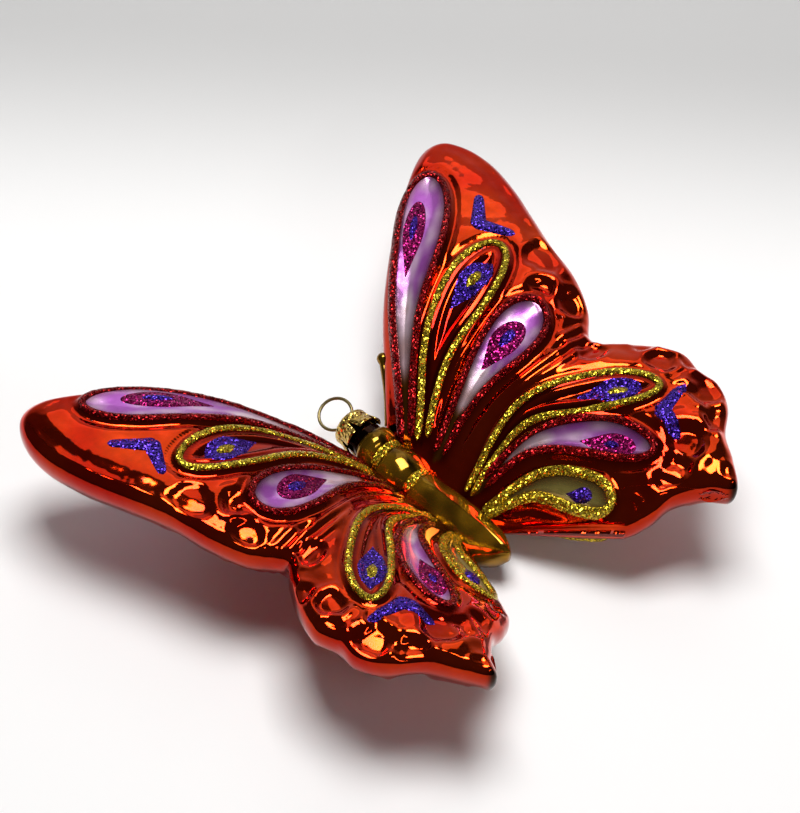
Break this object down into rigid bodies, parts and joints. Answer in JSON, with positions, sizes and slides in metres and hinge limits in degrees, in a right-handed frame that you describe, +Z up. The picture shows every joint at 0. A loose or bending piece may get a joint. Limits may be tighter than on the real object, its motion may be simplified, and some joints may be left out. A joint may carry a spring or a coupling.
{
  "type": "butterfly ornament",
  "caption": "Blown-glass butterfly hanging ornament with raised wings, glitter trim, a crown cap on its neck and a wire loop to hang it by.",
  "frame": {"origin": "middle of the flat belly that the ornament stands on, in the mirror plane", "axes": "+X to the butterfly's right wing tip, +Y to its head and hanging loop, +Z up"},
  "size_m": [0.1652, 0.143, 0.0411],
  "materials": {
    "lacquered_glass": "silvered inside, glossy red-orange lacquer outside",
    "embossed_cap": "thin gold-coloured sheet with a crinkled embossing",
    "clip_wire": "drawn spring wire with a dull brass tone",
    "gold_glitter": "fine glitter in glue",
    "red_glitter": "fine glitter in glue",
    "purple_glitter": "fine glitter in glue",
    "magenta_glitter": "fine glitter in glue",
    "antenna_lacquer": "dark gold lacquer"
  },
  "bodies": {
    "glass": {"glass_shell": "lacquered_glass", "body_gold_glitter": "gold_glitter", "left_antenna": "antenna_lacquer", "left_forewing_gold_top": "gold_glitter", "left_forewing_gold_under": "gold_glitter", "left_forewing_magenta_top": "magenta_glitter", "left_forewing_magenta_under": "magenta_glitter", "left_forewing_purple_top": "purple_glitter", "left_forewing_purple_under": "purple_glitter", "left_forewing_red_top": "red_glitter", "left_forewing_red_under": "red_glitter", "left_hindwing_gold_top": "gold_glitter", "left_hindwing_gold_under": "gold_glitter", "left_hindwing_magenta_top": "magenta_glitter", "left_hindwing_magenta_under": "magenta_glitter", "left_hindwing_purple_top": "purple_glitter", "left_hindwing_purple_under": "purple_glitter", "left_hindwing_red_top": "red_glitter", "left_hindwing_red_under": "red_glitter", "right_antenna": "antenna_lacquer", "right_forewing_gold_top": "gold_glitter", "right_forewing_gold_under": "gold_glitter", "right_forewing_magenta_top": "magenta_glitter", "right_forewing_magenta_under": "magenta_glitter", "right_forewing_purple_top": "purple_glitter", "right_forewing_purple_under": "purple_glitter", "right_forewing_red_top": "red_glitter", "right_forewing_red_under": "red_glitter", "right_hindwing_gold_top": "gold_glitter", "right_hindwing_gold_under": "gold_glitter", "right_hindwing_magenta_top": "magenta_glitter", "right_hindwing_magenta_under": "magenta_glitter", "right_hindwing_purple_top": "purple_glitter", "right_hindwing_purple_under": "purple_glitter", "right_hindwing_red_top": "red_glitter", "right_hindwing_red_under": "red_glitter"},
    "cap": {"hanger_cap": "embossed_cap"},
    "clip": {"spring_clip": "clip_wire"}
  },
  "joints": [
    {"name": "cap_turn", "type": "hinge", "parent": "glass", "child": "cap", "pos_m": [0, 0.0344, 0.012], "axis": [0, 1, 0], "continuous": true},
    {"name": "clip_pull", "type": "slide", "parent": "cap", "child": "clip", "axis": [0, 1, 0], "range_m": [0, 0.004], "stiffness_N_per_m": 400}
  ]
}
